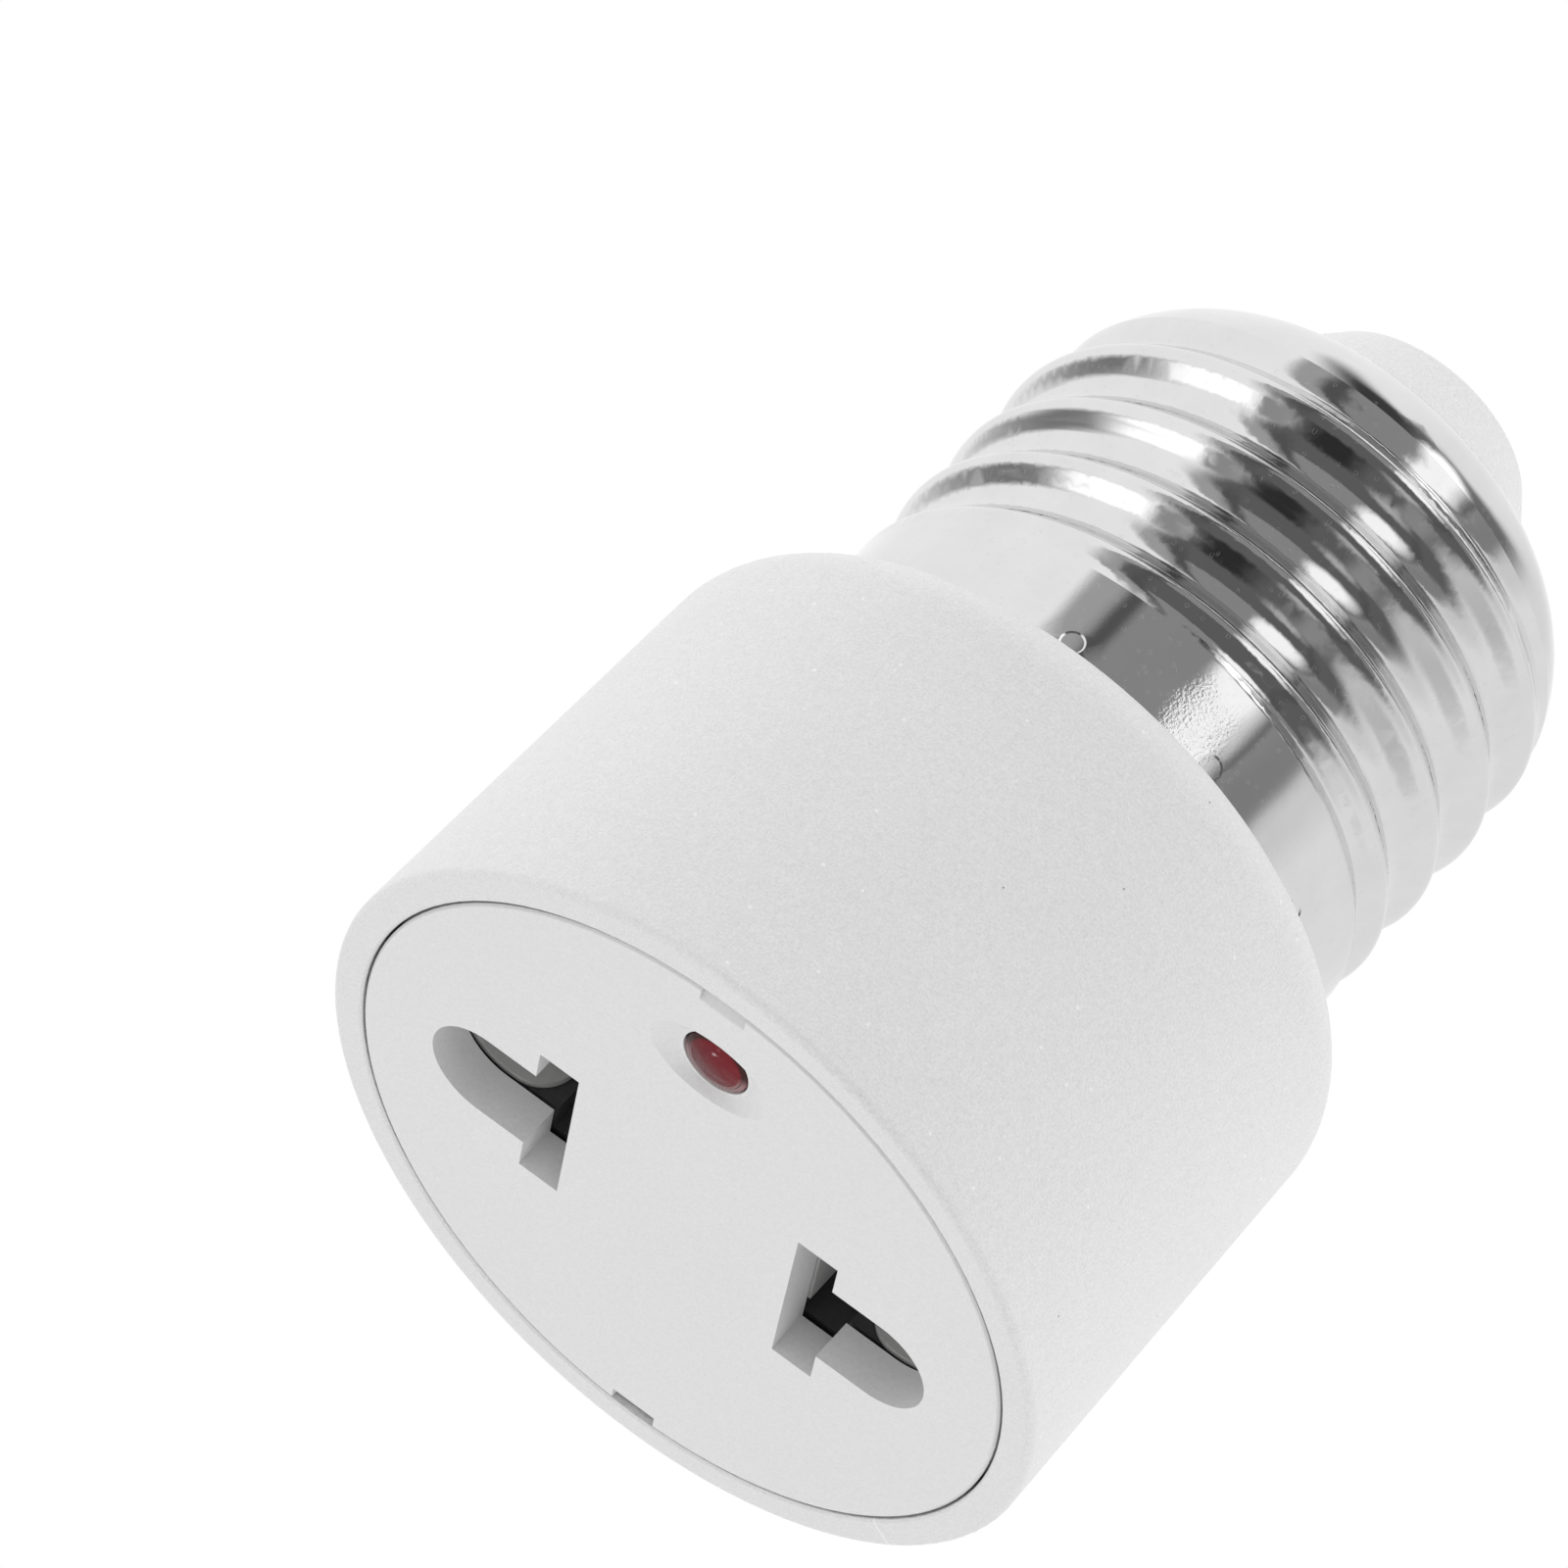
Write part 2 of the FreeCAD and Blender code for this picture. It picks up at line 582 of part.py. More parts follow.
def make_contact(side):
    """One contact: a bent sleeve for a round pin, a bowed leaf for a flat blade and a solder lug."""
    outer = channel(SLEEVE_START, PIN_X, SLEEVE_OUT_R, CONTACT_LOW, FLOOR_Z)
    inner = channel(SLEEVE_START - CUT_OVER, PIN_X, SLEEVE_R, CONTACT_LOW - CUT_OVER, INSERT_DEPTH)
    sleeve = outer.cut(inner)
    leg = PIN_X - SLEEVE_START
    sleeve = sleeve.makeFillet(min(LEG_ROUND, 0.9 * leg), edges_at(sleeve, SLEEVE_START, CONTACT_LOW))
    bridge = box(LEAF_X, SLEEVE_START, -SLEEVE_R, SLEEVE_R, INSERT_DEPTH, FLOOR_Z)
    lug = box(LUG_END, LEAF_X, -LUG_W / 2, LUG_W / 2, LUG_Z, LUG_TOP)
    lug = lug.makeFillet(LUG_ROUND, edges_at(lug, LUG_END, (LUG_Z + LUG_TOP) / 2))
    contact = sleeve.fuse([bridge, blade_leaf(), lug])
    contact = contact.cut(rod(LUG_HOLE_X, 0, LUG_Z - CUT_OVER, LUG_TOP + CUT_OVER, CORE_R + CORE_FIT))
    return mirrored(contact.removeSplitter(), side)


def blade_leaf():
    """The bowed leaf that presses on a flat blade."""
    back = LEAF_X
    front = LEAF_X + STRIP_T
    low = CONTACT_LOW + BOW_LOW_GAP
    high = INSERT_DEPTH - BOW_HIGH_GAP
    middle = (low + high) / 2
    face = face_of([
        line((back, FLOOR_Z), (back, high)),
        arc((back, high), (back + LEAF_BOW, middle), (back, low)),
        line((back, low), (back, CONTACT_LOW)),
        line((back, CONTACT_LOW), (front, CONTACT_LOW)),
        line((front, CONTACT_LOW), (front, low)),
        arc((front, low), (front + LEAF_BOW, middle), (front, high)),
        line((front, high), (front, FLOOR_Z)),
        line((front, FLOOR_Z), (back, FLOOR_Z)),
    ])
    face.translate(Vector(0, -LEAF_W / 2, 0))
    return face.extrude(Vector(0, LEAF_W, 0))


def make_centre_contact():
    """The headed tube in the nose, flared inside to hold it."""
    top = NOSE_TOP + HEAD_H
    edge = NOSE_TOP + HEAD_EDGE
    low = NOSE_TOP - NOSE_ROOF
    end = low - FLARE_T
    rivet = spin(face_of([
        arc((SHANK_BORE_R, top), (HEAD_R * CROWN_AT, NOSE_TOP + HEAD_H * CROWN_H), (HEAD_R, edge)),
        line((HEAD_R, edge), (HEAD_R, NOSE_TOP)),
        line((HEAD_R, NOSE_TOP), (SHANK_R, NOSE_TOP)),
        line((SHANK_R, NOSE_TOP), (SHANK_R, low)),
        line((SHANK_R, low), (FLARE_R, low)),
        line((FLARE_R, low), (FLARE_R, end)),
        line((FLARE_R, end), (SHANK_BORE_R, end)),
        line((SHANK_BORE_R, end), (SHANK_BORE_R, top)),
    ]))
    cap = rod(0, 0, NOSE_TOP - CAP_T, top, SHANK_BORE_R)
    return rivet.fuse(cap).removeSplitter()


def make_lamp():
    """The indicator lamp: a round lens with a low dome and a flange."""
    edge = LAMP_TOP + LAMP_DOME_H
    brow = LAMP_R - LAMP_EDGE
    corner = LAMP_EDGE * (1 - math.sqrt(0.5))
    flange_z = LAMP_BACK - LAMP_FLANGE_T
    lens = spin(face_of([
        arc((0, LAMP_TOP), (brow * DOME_AT, LAMP_TOP + LAMP_DOME_H * DOME_FALL), (brow, edge)),
        arc((brow, edge), (LAMP_R - corner, edge + corner), (LAMP_R, edge + LAMP_EDGE)),
        line((LAMP_R, edge + LAMP_EDGE), (LAMP_R, flange_z)),
        line((LAMP_R, flange_z), (LAMP_FLANGE_R, flange_z)),
        line((LAMP_FLANGE_R, flange_z), (LAMP_FLANGE_R, LAMP_BACK)),
        line((LAMP_FLANGE_R, LAMP_BACK), (0, LAMP_BACK)),
        line((0, LAMP_BACK), (0, LAMP_TOP)),
    ]))
    lens.translate(Vector(0, LAMP_Y, 0))
    return lens


def component_lead(x, length):
    """The lead from the top of the resistor or the diode to its solder joint."""
    start = (x, LAMP_Y, CIRCUIT_Z + length)
    bend = (x, LAMP_Y, LEAD_BEND_Z)
    joint = (math.copysign(LUG_HOLE_X, x), -SOLDER_R * LEAD_REACH, LEAD_BEND_Z)
    return tube(bent_path([start, bend, joint], 0.6), LEAD_R)


def barrel(x, radius, length, waist):
    """The body of an axial component, standing upright."""
    top = CIRCUIT_Z + length
    body = rod(x, LAMP_Y, CIRCUIT_Z, top, radius)
    if waist:
        bulb = WAIST_SHARE * length
        ring = rod(x, LAMP_Y, CIRCUIT_Z + bulb, top - bulb, radius + CUT_OVER)
        body = body.cut(ring.cut(rod(x, LAMP_Y, CIRCUIT_Z, top, radius - waist)))
    return body.makeFillet(PART_ROUND, ring_edges(body, radius, CIRCUIT_Z) + ring_edges(body, radius, top))


def live_points():
    """The live wire's route from the right contact to the centre contact."""
    return [
        (LUG_HOLE_X, 0, LUG_Z - WIRE_TAIL), (LUG_HOLE_X, 0, BODY_H + LIVE_TURN_LOW),
        (0, 0, THREAD_TOP - LIVE_TURN_HIGH), (0, 0, NOSE_TOP - WIRE_TAIL),
    ]


def neutral_points():
    """The neutral wire's route from the left contact to the screw shell."""
    return [
        (-LUG_HOLE_X, 0, LUG_Z - WIRE_TAIL), (-LUG_HOLE_X, 0, BODY_H - NEUTRAL_TURN),
        (-0.2 * NECK_BORE_R, 0.32 * NECK_BORE_R, WIRE_EXIT_Z + NEUTRAL_LIFT),
        (0, 0.8 * NECK_BORE_R, WIRE_EXIT_Z), (0, COLLAR_R - SHEET_T - CORE_FIT, WIRE_EXIT_Z),
    ]


def make_wire(points, bare_start, bare_end):
    """A bare core and the sheath that covers all but its two ends."""
    path = bent_path(points)
    core = tube(path, CORE_R)
    covered = tube(path, SHEATH_R).cut(tube(path, CORE_R + CORE_FIT))
    return core, covered.cut([bare_start, bare_end])


def solder_on(centre, radius, up, cutters):
    """A drop of solder on a flat face, round what it holds."""
    drop = Part.makeSphere(radius, centre)
    size = 4 * radius
    half = Part.makeBox(size, size, size, centre - Vector(size / 2, size / 2, size if up else 0))
    drop = drop.cut([half] + cutters)
    return max(drop.Solids, key=lambda solid: solid.Volume)


def make_wires():
    """The live and the neutral wire, each a core and a sheath."""
    wide = COLLAR_R
    low_end = box(-wide, wide, -wide, wide, 0, FLOOR_Z - BARE_LOW)
    nose_end = box(-wide, wide, -wide, wide, NOSE_TOP - NOSE_ROOF - BARE_TIP, NOSE_TOP)
    neck_end = box(-wide, wide, NECK_BORE_R - BARE_EXIT, wide, BODY_H, COLLAR_TOP)
    wires = {}
    wires["live_core"], wires["live_sheath"] = make_wire(live_points(), low_end, nose_end)
    wires["neutral_core"], wires["neutral_sheath"] = make_wire(neutral_points(), low_end, neck_end)
    return wires


def make_component(name, x, radius, length, waist):
    """One component of the lamp circuit with its leads and the tube on its lower lead."""
    middle = (TUBE_LOW + TUBE_HIGH) / 2
    tube_r = LEAD_R + CORE_FIT
    outside = rod(x, LAMP_Y, TUBE_LOW, TUBE_HIGH, tube_r + TUBE_T)
    return {
        name: barrel(x, radius, length, waist),
        name + "_lamp_lead": rod(x, LAMP_Y, LAMP_BACK, middle, LEAD_R),
        name + "_lower_lead": rod(x, LAMP_Y, middle, CIRCUIT_Z, LEAD_R),
        name + "_upper_lead": component_lead(x, length),
        name + "_sleeve": outside.cut(rod(x, LAMP_Y, LAMP_BACK, CIRCUIT_Z, tube_r)),
    }


def main():
    """Build every piece and write each to its own file."""
    parts = {"housing": make_housing(), "face_plate": make_plate(), "contact_carrier": make_carrier()}
    parts["screw_shell"] = make_shell()
    parts["centre_contact"] = make_centre_contact()
    for name, side in SIDES.items():
        parts["contact_" + name] = make_contact(side)
    parts["indicator_lamp"] = make_lamp()
    parts.update(make_wires())
    parts.update(make_component("resistor", -LEAD_X, RESISTOR_R, RESISTOR_LEN, RESISTOR_WAIST))
    parts.update(make_component("diode", LEAD_X, DIODE_R, DIODE_LEN, 0))

    for name, side, core, lead in (
        ("left", -1, "neutral_core", "resistor_upper_lead"),
        ("right", 1, "live_core", "diode_upper_lead"),
    ):
        held = [parts[core], parts[lead], parts["contact_" + name]]
        parts["solder_" + name] = solder_on(Vector(side * LUG_HOLE_X, 0, LUG_TOP), SOLDER_R, True, held)
    flare_end = Vector(0, 0, NOSE_TOP - NOSE_ROOF - FLARE_T)
    parts["solder_centre"] = solder_on(flare_end, SHANK_R, False, [parts["live_core"]])

    os.makedirs("parts", exist_ok=True)
    for name, shape in parts.items():
        shape.exportStep("parts/" + name + ".step")
        print(name, "valid", shape.isValid(), "solids", len(shape.Solids), "volume", round(shape.Volume, 3))


main()
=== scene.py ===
"""Finishes, lamp details and studio for a screw-in outlet adapter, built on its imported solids."""
import math

import bpy
from mathutils import Matrix, Vector


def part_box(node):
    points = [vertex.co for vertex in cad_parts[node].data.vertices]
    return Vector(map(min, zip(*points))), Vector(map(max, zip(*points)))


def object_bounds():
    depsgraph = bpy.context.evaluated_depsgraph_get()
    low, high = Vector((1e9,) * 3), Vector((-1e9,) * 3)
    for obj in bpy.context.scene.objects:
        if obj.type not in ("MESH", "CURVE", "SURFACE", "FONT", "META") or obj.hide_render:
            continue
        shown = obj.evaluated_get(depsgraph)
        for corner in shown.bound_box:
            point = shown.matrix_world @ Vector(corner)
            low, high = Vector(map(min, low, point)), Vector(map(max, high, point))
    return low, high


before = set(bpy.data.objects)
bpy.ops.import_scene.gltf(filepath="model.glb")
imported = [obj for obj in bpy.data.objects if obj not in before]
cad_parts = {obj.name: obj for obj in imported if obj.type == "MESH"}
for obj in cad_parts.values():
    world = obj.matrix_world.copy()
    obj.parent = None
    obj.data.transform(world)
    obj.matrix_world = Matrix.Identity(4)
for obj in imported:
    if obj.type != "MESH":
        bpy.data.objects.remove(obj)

bl_info = {
    "name": "Light Socket Outlet Adapter",
    "version": (1, 0, 0),
    "blender": (4, 5, 0),
    "location": "3D View > Sidebar > Adapter",
    "description": "Dresses the adapter's solids and sets up its studio",
    "category": "Object",
}

MM = 0.001
CAD_BOX = [list(corner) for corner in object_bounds()]

# Places on the part, in millimetres and degrees
BODY_RADIUS = 17.0           # at which the body is unrolled for its marks
SHELL_RADIUS = 13.0          # at which the screw shell is unrolled
TIP_RADIUS = 4.0             # at which the centre contact is unrolled
# Where painted shade darkens the plastic: the seam round the outlet face and the prying notch beside the lamp
SEAM_SHADE = {"radius": 15.65, "half_width": 0.07, "depth": 3.0}
NOTCH_SHADE = {"radius": 15.25, "half_width": 0.45, "height": 0.4, "half_height": 0.35}
SCUFF = (-15.5, 24.9, 1.4, 2.2)     # middle and half sizes of the scuffed patch on the unrolled collar
STAKES = {"count": 11, "first": -93.3, "height": 24.05, "radius": 12.9, "reach": 0.46}
LENS_RADIUS = 1.5

# Small marks: how many a millimetre, their size and how rare they are
DARK_SPECKS = {"per_mm": 0.28, "size": 0.013, "rarity": 0.86}
# Painted glints: pale dots of painted highlight in the body's colour
PAINTED_GLINTS = {"per_mm": 1.1, "size": 0.09}
PITS = {"per_mm": 5.0, "size": 0.4}

RESISTOR_COAT = (0.58, 0.44, 0.28)
RESISTOR_BANDS = (           # where each colour starts along the resistor
    (0.0, RESISTOR_COAT), (0.12, RESISTOR_COAT),
    (0.2, (0.3, 0.1, 0.03)), (0.28, RESISTOR_COAT),
    (0.38, (0.02, 0.02, 0.02)), (0.46, RESISTOR_COAT),
    (0.56, (0.6, 0.35, 0.02)), (0.64, RESISTOR_COAT),
    (0.8, (0.45, 0.3, 0.08)), (0.88, RESISTOR_COAT),
)
DIODE_AMBER = (0.5, 0.17, 0.05)
DIODE_BANDS = ((0.0, DIODE_AMBER), (0.74, (0.01, 0.01, 0.01)), (0.9, DIODE_AMBER))

CAMERA = {                   # metres, and millimetres for the lens
    "place": (0.082931, -0.300920, -0.163923),
    "right": (0.78807139, -0.12518646, 0.60272036),
    "up": (-0.56121978, -0.54840993, 0.61990233),
    "lens": 207.404,
    "sensor_width": 36.0,
    "clip_start": 0.01,
    "clip_end": 50.0,
}
CAMERA_BEARING = -74.6       # degrees, where the camera stands round the adapter
FLOOR_GAP = 0.00005          # metres from the rim down to the floor

# What polished metal shows where no panel is: its level, how much darker it is on the camera's right
# and how far across the change reaches
BACKDROP = {"level": 1.01, "fall": 0.11, "reach": 0.3}

# Panels that polished metal shows, each laid over those before it: level, bearing from the camera,
# height, half its width, half its height, turn (all in degrees) and softness of its edge
STUDIO_PANELS = (
    (0.75, 58, 10, 15, 70, 0, 0.6),
    (0.13, 5, -12, 50, 100, 0, 0.2),
    (0.29, 4, 42, 50, 30, 0, 0.1),
    (0.41, -43, 30, 6, 34, 0, 0.6),
    (0.1, -31, 20, 3.5, 45, 0, 0.7),
    (0.05, -30, 74, 70, 6, 0, 0.6),
    (0.18, 62, 68, 60, 9, -8, 0.5),
    (0.26, 45, 45, 8, 30, 0, 0.5),
    (0.1, 31, 5, 3, 45, 0, 0.7),
    (0.65, 25, 35, 6, 24, 0, 0.5),
    (1.2, 15, 37, 11, 27, 3, 0.35),
    (1.6, 31, 71, 25, 5.5, 0, 0.4),
    (20, -172, -49, 3, 1.6, 45, 0.3),
    (0.8, -70, -60, 30, 14, 0, 0.8),
    (0.22, -106, -23, 37, 6, -25, 1.0),
    (1.4, -67, -39, 22, 6, -20, 0.5),
    (0.32, -44, -46, 8, 7, 0, 0.6),
    (0.03, -16, -50, 14, 8, 0, 0.6),
    (0.5, 17, -38, 9, 8, 0, 0.8),
    (0.3, 31, -48, 8, 6, 0, 0.6),
    (0.6, 76, -38, 24, 8, 15, 0.9),
    (0.82, 120, 52, 37, 10, 0, 0.6),
)


class Signal:
    """A node's output that can be used in sums."""

    def __init__(self, nodes, socket):
        self.nodes = nodes
        self.socket = socket

    def _math(self, operation, *terms):
        return self.nodes.add("Math", {"operation": operation}, dict(enumerate(terms)))

    def __add__(self, other):
        return self._math("ADD", self, other)

    __radd__ = __add__

    def __sub__(self, other):
        return self._math("SUBTRACT", self, other)

    def __rsub__(self, other):
        return self._math("SUBTRACT", other, self)

    def __mul__(self, other):
        return self._math("MULTIPLY", self, other)

    __rmul__ = __mul__

    def __truediv__(self, other):
        return self._math("DIVIDE", self, other)

    def __lt__(self, other):
        return self._math("LESS_THAN", self, other)

    def __gt__(self, other):
        return self._math("GREATER_THAN", self, other)

    def __abs__(self):
        return self._math("ABSOLUTE", self)

    def angle_from(self, other):
        """The angle in radians of the place that lies this far up and the other far across."""
        return self._math("ARCTAN2", self, other)

    def fraction(self):
        """What is left over a whole number."""
        return self._math("FRACT", self)

    def arcsine(self):
        """The angle in radians that has this sine."""
        return self._math("ARCSINE", self)

    def at_least(self, other):
        """The larger of the two."""
        return self._math("MAXIMUM", self, other)


class Nodes:
    """Adds nodes to one material or to the world."""

    def __init__(self, tree):
        self.tree = tree
        tree.nodes.clear()

    def add(self, kind, settings=None, values=None, output=0):
        """A node of one kind, with its settings first and then its inputs."""
        node = self.tree.nodes.new("ShaderNode" + kind)
        for name, value in (settings or {}).items():
            if name == "stops":
                self._set_stops(node.color_ramp, value)
            elif name == "interpolation":
                node.color_ramp.interpolation = value
            else:
                setattr(node, name, value)
        for name, value in (values or {}).items():
            if isinstance(value, Signal):
                self.tree.links.new(value.socket, node.inputs[name])
            else:
                node.inputs[name].default_value = value
        return Signal(self, node.outputs[output]) if node.outputs else node

    @staticmethod
    def _set_stops(ramp, stops):
        while len(ramp.elements) < len(stops):
            ramp.elements.new(1.0)
        for element, (place, tone) in zip(ramp.elements, stops):
            element.position = place
            element.color = (*tone, 1)

    def position(self):
        """The point on the part, in millimetres."""
        place = self.add("TexCoord", output=3)
        return self.add("VectorMath", {"operation": "SCALE"}, {0: place, "Scale": 1 / MM})

    def parts_of(self, vector):
        """The three numbers of a vector."""
        split = self.add("SeparateXYZ", values={0: vector})
        return [Signal(self, socket) for socket in split.socket.node.outputs]

    def vector(self, x, y, z):
        """A vector from three numbers."""
        return self.add("CombineXYZ", values={0: x, 1: y, 2: z})

    def length(self, vector):
        """How long a vector is."""
        return self.add("VectorMath", {"operation": "LENGTH"}, {0: vector}, 1)

    def oval(self, place, x, y, half_x, half_y, turn=0.0):
        """How far out a flat place lies in an oval: 0 at its middle, 1 at its edge."""
        values = {0: place, 1: (x, y, 0), 2: (0, 0, turn), 3: (half_x, half_y, 1)}
        return self.length(self.add("Mapping", {"vector_type": "TEXTURE"}, values))

    def step(self, value, start, end):
        """A smooth change from 0 to 1, or from 1 to 0 where the end comes first."""
        low, high = sorted((start, end))
        values = {0: value, 1: low, 2: high, 3: float(start > end), 4: float(start < end)}
        return self.add("MapRange", {"interpolation_type": "SMOOTHSTEP"}, values)

    def unrolled(self, radius):
        """Millimetres round the axis and along it, as a flat vector."""
        x, y, z = self.parts_of(self.position())
        return self.vector(y.angle_from(x) * radius, z, 0.0)

    def noise(self, place, per_mm, detail=2.0, roughness=0.5):
        """Cloudy variation from 0 to 1."""
        values = {"Vector": place, "Scale": per_mm, "Detail": detail, "Roughness": roughness}
        return self.add("TexNoise", values=values)

    def stretched(self, place, x, y, z):
        """A place scaled along its axes, for streaks."""
        return self.add("VectorMath", {"operation": "MULTIPLY"}, {0: place, 1: (x, y, z)})

    def bands(self, value, stops):
        """A set of colours, each from its own value upwards."""
        return self.add("ValToRGB", {"interpolation": "CONSTANT", "stops": stops}, {0: value})

    def blend(self, factor, first, second):
        """Two colours mixed."""
        return self.add("Mix", {"data_type": "RGBA"}, {0: factor, 6: first, 7: second}, 2)

    def bump(self, height, depth_mm, normal=None):
        """A normal tilted by a height, whose full range is a depth in millimetres."""
        values = {"Strength": 1.0, "Distance": depth_mm * MM, "Height": height}
        if normal:
            values["Normal"] = normal
        return self.add("Bump", values=values)

    def specks(self, place, per_mm, size, rarity):
        """Small round marks: 1 inside a mark, 0 outside."""
        cells = {"Vector": place, "Scale": per_mm}
        far = self.add("TexVoronoi", {"voronoi_dimensions": "2D"}, cells)
        chance = self.add("SeparateColor", values={0: Signal(self, far.socket.node.outputs[1])})
        return (far < chance * size) * (chance > rarity)

    def mixed(self, factor, first, second):
        """Two shaders mixed."""
        return self.add("MixShader", values={0: factor, 1: first, 2: second})

    def surface(self, **values):
        """The material's shader, with its sockets named by their labels."""
        named = {name.replace("_", " "): value for name, value in values.items()}
        shader = self.add("BsdfPrincipled", values=named)
        self.add("OutputMaterial", values={"Surface": shader})


def colour(value):
    """A property's colour as a plain RGBA tuple."""
    return (value[0], value[1], value[2], 1.0)


def shaded(value, factor):
    """A colour made lighter or darker."""
    return (min(1.0, value[0] * factor), min(1.0, value[1] * factor), min(1.0, value[2] * factor), 1.0)


def finish(name):
    """A new empty material and its nodes."""
    material = bpy.data.materials.new(name)
    material.use_nodes = True
    return material, Nodes(material.node_tree)


def dress(material, *names):
    """Gives CAD nodes a material."""
    for name in names:
        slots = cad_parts[name].material_slots
        if not slots:
            raise RuntimeError("no material slot on " + name)
        for slot in slots:
            slot.material = material


def marked(nodes, tint, cloud):
    """A tint with the few dark specks of the body's plastic and painted glints, pale dots of painted
    highlight.
    """
    specks = nodes.specks(nodes.unrolled(BODY_RADIUS), **DARK_SPECKS)
    tint = nodes.blend(specks * 0.75, tint, (0.16, 0.15, 0.14, 1))
    # Painted highlight: pale glints blended into the colour
    painted_glints = nodes.specks(nodes.unrolled(BODY_RADIUS), rarity=0.93 + cloud * 0.06, **PAINTED_GLINTS)
    return nodes.blend(painted_glints * 0.6, tint, (1, 1, 1, 1))


def moulded_plastic(name, base, grain_mm, grain_depth, roughness, mottle, with_specks):
    """White plastic with the fine grain of its mould, and painted shade in the seam round the outlet face and
    in a prying notch.
    """
    material, nodes = finish(name)
    place = nodes.position()
    grain = nodes.noise(place, 1 / grain_mm, detail=3.0, roughness=0.6)
    pebble = nodes.noise(place, 0.3 / grain_mm, detail=1.0)
    cloud = nodes.noise(place, 0.12)
    mottling = cloud * 0.1 + grain * 0.75 + pebble * 0.15
    tint = nodes.blend(mottling, shaded(base, 1 - mottle), shaded(base, 1 + mottle * 0.95))
    if with_specks:
        tint = marked(nodes, tint, cloud)
    from_axis = nodes.length(nodes.stretched(place, 1, 1, 0))
    _, y, z = nodes.parts_of(place)
    # Painted shade: darker in the seam round the outlet face and in the prying notch beside the lamp
    seam_shade = (abs(from_axis - SEAM_SHADE["radius"]) < SEAM_SHADE["half_width"]) * (z < SEAM_SHADE["depth"])
    notch_shade = abs(from_axis - NOTCH_SHADE["radius"]) < NOTCH_SHADE["half_width"]
    notch_shade = notch_shade * (abs(z - NOTCH_SHADE["height"]) < NOTCH_SHADE["half_height"]) * (y < 0.0)
    tint = nodes.blend(seam_shade * (0.1 + pebble * 0.4) + notch_shade * 0.12, tint, shaded(base, 0.1))
    nodes.surface(
        Base_Color=tint,
        Roughness=roughness - 0.06 + grain * 0.12,
        Normal=nodes.bump(grain * 0.7 + pebble * 0.3, grain_depth),
    )
    return material


def nickel(name, base, radius, streak_per_mm, roughness, staked):
    """Bright nickel plate on a drawn and rolled sheet."""
    material, nodes = finish(name)
    place = nodes.unrolled(radius)
    streaks = nodes.noise(nodes.stretched(place, 0.12, streak_per_mm, 1), 1.0, detail=3.0, roughness=0.6)
    haze = nodes.noise(place, 0.35, detail=3.0, roughness=0.6)
    sway = nodes.noise(place, 0.3, detail=1.0)
    fine = nodes.noise(place, 7.0)
    scuffed = nodes.step(nodes.oval(place, *SCUFF) + haze * 0.8, 1.7, 0.9)
    pits = nodes.specks(place, rarity=0.95 - scuffed * 0.6, **PITS)
    smooth = nodes.add("NewGeometry", output=1)
    if staked:
        smooth = flat_stakes(nodes, smooth)
    waved = nodes.bump(sway, 0.015, normal=smooth)
    relief = streaks * 0.3 + fine * (0.3 + scuffed * 9.0) - pits * 12.0
    nodes.surface(
        Base_Color=nodes.blend(haze, colour(base), shaded(base, 0.86)),
        Metallic=1.0,
        Roughness=roughness + haze * 0.03 + streaks * 0.02,
        Normal=nodes.bump(relief, 0.0022, normal=waved),
    )
    return material


def flat_stakes(nodes, smooth):
    """The normal with the bottoms of the staked dimples flat, so that only their edges catch light."""
    x, y, z = nodes.parts_of(nodes.position())
    pitch = math.tau / STAKES["count"]
    turns = (y.angle_from(x) - math.radians(STAKES["first"])) / pitch + 0.5
    across = (turns.fraction() - 0.5) * (pitch * STAKES["radius"])
    inside = nodes.length(nodes.vector(across, z - STAKES["height"], 0.0)) < STAKES["reach"]
    outward = nodes.add("VectorMath", {"operation": "NORMALIZE"}, {0: nodes.vector(x, y, 0.0)})
    return nodes.add("Mix", {"data_type": "VECTOR"}, {0: inside, 4: smooth, 5: outward}, 1)


def cloudy(name, tones, per_mm, detail, roughness, spread, depth_mm, metallic=0.0):
    """A plain finish whose colour, gloss and relief all follow one noise."""
    material, nodes = finish(name)
    cloud = nodes.noise(nodes.position(), per_mm, detail)
    nodes.surface(
        Base_Color=nodes.blend(cloud, *tones),
        Metallic=metallic,
        Roughness=roughness + cloud * spread,
        Normal=nodes.bump(cloud, depth_mm),
    )
    return material


def banded(name, node, stops, roughness, spread, coat):
    """A finish whose colours change along the height of its piece."""
    material, nodes = finish(name)
    _, _, z = nodes.parts_of(nodes.position())
    low, high = (corner[2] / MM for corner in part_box(node))
    nodes.surface(
        Base_Color=nodes.bands((z - low) / (high - low), stops),
        Roughness=roughness + nodes.noise(nodes.position(), 2.0) * spread,
        Coat_Weight=coat,
    )
    return material


